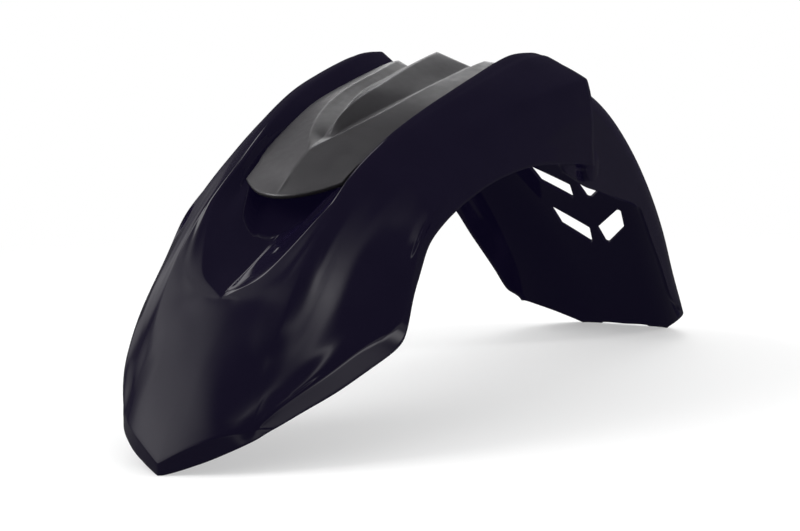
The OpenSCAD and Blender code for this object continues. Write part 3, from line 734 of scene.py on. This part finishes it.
def floor_and_world():
    """A white floor in a white room for the camera; reflections see a dim room and lit patches of floor."""
    me = bpy.data.meshes.new("floor")
    me.from_pydata([(-6, -6, 0), (6, -6, 0), (6, 6, 0), (-6, 6, 0)], [], [(0, 1, 2, 3)])
    ob = bpy.data.objects.new("floor", me)
    bpy.context.scene.collection.objects.link(ob)
    mat = bpy.data.materials.new("floor")
    nt, out = tree(mat)

    def shader(kind, **values):
        n = nt.nodes.new(kind)
        for key, v in values.items():
            if isinstance(v, (float, tuple)):
                n.inputs[key].default_value = v
            else:
                nt.links.new(v, n.inputs[key])
        return n.outputs[0]

    def mix(f, a, b):
        n = nt.nodes.new("ShaderNodeMixShader")
        for k, x in enumerate((f, a, b)):
            nt.links.new(x, n.inputs[k])
        return n.outputs[0]

    place = nt.nodes.new("ShaderNodeTexCoord")
    dist = nt.nodes.new("ShaderNodeVectorMath")
    dist.operation = "DISTANCE"
    dist.inputs[1].default_value = STAGE
    fade = nt.nodes.new("ShaderNodeMapRange")
    fade.interpolation_type = "SMOOTHSTEP"
    fade.inputs["From Min"].default_value = FADE_FROM
    fade.inputs["From Max"].default_value = FADE_TO
    fade.inputs["To Min"].default_value = LIT
    nt.links.new(place.outputs["Object"], dist.inputs[0])
    nt.links.new(dist.outputs["Value"], fade.inputs["Value"])
    white = shader("ShaderNodeEmission", Color=(1.0, 1.0, 1.0, 1.0), Strength=1.0)
    seen = mix(fade.outputs["Result"], shader("ShaderNodeBsdfDiffuse", Color=(0.9, 0.9, 0.9, 1.0)), white)
    glow = DIM
    for centre, radii, radiance, edge in PATCHES:
        glow = math_node(nt, "ADD", math_node(nt, "MULTIPLY", bell(nt, centre, radii, (edge, edge)), radiance), glow)
    patches = shader("ShaderNodeEmission", Color=(1.0, 0.98, 1.0, 1.0), Strength=glow)
    dark = shader("ShaderNodeBsdfDiffuse", Color=(0.08, 0.08, 0.085, 1.0))
    ray = nt.nodes.new("ShaderNodeLightPath")
    rest = mix(ray.outputs["Is Glossy Ray"], dark, patches)
    nt.links.new(mix(ray.outputs["Is Camera Ray"], rest, seen), out.inputs["Surface"])
    me.materials.append(mat)
    w = bpy.data.worlds.new("studio")
    bpy.context.scene.world = w
    w.use_nodes = True
    nt = w.node_tree
    nt.nodes.clear()
    out = nt.nodes.new("ShaderNodeOutputWorld")
    room = shader("ShaderNodeBackground", Color=(1.0, 1.0, 1.0, 1.0), Strength=1.0)
    dim = shader("ShaderNodeBackground", Color=(0.85, 0.8, 1.0, 1.0), Strength=DIM)
    fill = shader("ShaderNodeBackground", Color=(1.0, 1.0, 1.0, 1.0), Strength=FILL)
    ray = nt.nodes.new("ShaderNodeLightPath")
    rest = mix(ray.outputs["Is Glossy Ray"], fill, dim)
    nt.links.new(mix(ray.outputs["Is Camera Ray"], rest, room), out.inputs["Surface"])
    return ob


def towards(az, el):
    """The unit vector at an azimuth from +X and an elevation, both in degrees."""
    a, e = np.radians(az), np.radians(el)
    return Vector((np.cos(a) * np.cos(e), np.sin(a) * np.cos(e), np.sin(e)))


def soft_box(name, az, el, wide, high, radiance, edges=(1.0, 1.0), turn=0.0, bend=0.0, far=12.0,
             aim=(-0.05, 0, 0.12)):
    """A glowing screen seen only in reflections: brightest in its middle, with a bell-shaped falloff.

    wide and high are the angles from its middle at which the glow has dropped to 1/e; bend arches it.
    """
    a, b = far * np.tan(np.radians(wide)), far * np.tan(np.radians(high))
    x = 2.2 * a
    y = 2.2 * b + abs(bend) * x * x / far
    me = bpy.data.meshes.new(name)
    me.from_pydata([(-x, -y, 0), (x, -y, 0), (x, y, 0), (-x, y, 0)], [], [(0, 1, 2, 3)])
    ob = bpy.data.objects.new(name, me)
    d = towards(az, el)
    ob.location = Vector(aim) + far * d
    facing = d.to_track_quat("Z", "Y").to_matrix().to_4x4()
    ob.rotation_euler = (facing @ Matrix.Rotation(np.radians(turn), 4, "Z")).to_euler()
    bpy.context.scene.collection.objects.link(ob)
    mat = bpy.data.materials.new(name)
    nt, out = tree(mat)
    m = bell(nt, (0.0, 0.0), (a, b), edges, bend / far)
    e = nt.nodes.new("ShaderNodeEmission")
    e.inputs["Color"].default_value = (1, 0.985, 1, 1)
    nt.links.new(math_node(nt, "MULTIPLY", m, radiance), e.inputs["Strength"])
    clear = nt.nodes.new("ShaderNodeBsdfTransparent")
    add = nt.nodes.new("ShaderNodeAddShader")
    nt.links.new(e.outputs[0], add.inputs[0])
    nt.links.new(clear.outputs[0], add.inputs[1])
    nt.links.new(add.outputs[0], out.inputs["Surface"])
    me.materials.append(mat)
    ob.visible_camera = False
    ob.visible_diffuse = False
    ob.visible_shadow = False
    return ob


def lamp(name, az, el, far, size, power, aim=(0, 0, 0.1), only=None):
    """A square studio lamp that the gloss doesn't mirror; with `only` it lights that object alone, sheen and all."""
    li = bpy.data.lights.new(name, "AREA")
    li.shape = "SQUARE"
    li.size = size
    li.energy = power
    ob = bpy.data.objects.new(name, li)
    d = towards(az, el)
    ob.location = Vector(aim) + far * d
    ob.rotation_euler = d.to_track_quat("Z", "Y").to_euler()
    ob.visible_glossy = only is not None
    bpy.context.scene.collection.objects.link(ob)
    if only:
        lit = bpy.data.collections.new(name)
        lit.objects.link(only)
        ob.light_linking.receiver_collection = lit
    return ob


floor = floor_and_world()
boxes = [
    soft_box("box_key_top", 127, 42.3, 43, 13.7, 0.84, (0.8, 1.5), 16, 0.08),
    soft_box("box_key", 140, 16.5, 50, 21, 1.0, (0.8, 1.4), 3, 0.02),
    soft_box("box_side_core", -102, 46.6, 11, 2.1, 1.15, (0.95, 1.5), 24, 0.88),
    soft_box("box_side", -116, 41.6, 13, 3.5, 0.45, (2.1, 0.8), 16, 2.17),
    soft_box("box_wing", 50, 3.9, 6.7, 4.6, 0.18, (0.9, 3.8), 18, -0.97),
    soft_box("box_wing_streak", 64.4, 15.8, 5.7, 13, 0.48, (2.7, 0.95), -40, 0.56),
    soft_box("box_sheen", 90.5, 48.8, 17.5, 5.5, 0.52, (0.8, 1.1), 49, -0.79),
    soft_box("box_lip", 71, 41, 13, 5, 1.8, (3, 3), 38),
    soft_box("box_valley", 50, 47, 4, 4, 2.0, (3, 3)),
]
lamp("lamp_key", 135, 38, 2.2, 1.1, 24)
lamp("lamp_top", 30, 70, 2.2, 1.6, 10)
lamp("lamp_side", -60, 17, 2.2, 0.35, 19)
lamp("lamp_rear", 28, 28, 2.2, 0.9, 8, only=cover)
lamp("lamp_far", 138, 38, 2.2, 0.8, 28, only=cover)


# The photograph's camera, solved from mirrored pairs of points
VIEW = (-1.08749, 0.11035)  # azimuth and elevation in radians
EYE = (-25.37717, 77.27867, 1423.71048)  # mm to the right, up and back of the origin
LENS, SENSOR = 99, 36


def camera():
    """A camera at EYE, looking along VIEW."""
    az, el = VIEW
    back = np.array([np.sin(az) * np.cos(el), -np.cos(az) * np.cos(el), np.sin(el)])
    right = np.array([np.cos(az), np.sin(az), 0.0])
    up = np.cross(back, right)
    eye = (EYE[0] * right + EYE[1] * up + EYE[2] * back) * MM
    data = bpy.data.cameras.new("camera")
    data.sensor_width = SENSOR
    data.lens = LENS
    data.clip_start, data.clip_end = 0.05, 50
    ob = bpy.data.objects.new("camera", data)
    ob.matrix_world = Matrix([[right[i], up[i], back[i], eye[i]] for i in range(3)] + [[0, 0, 0, 1]])
    bpy.context.scene.collection.objects.link(ob)
    bpy.context.scene.camera = ob


camera()
bpy.context.scene.view_settings.view_transform = "Standard"
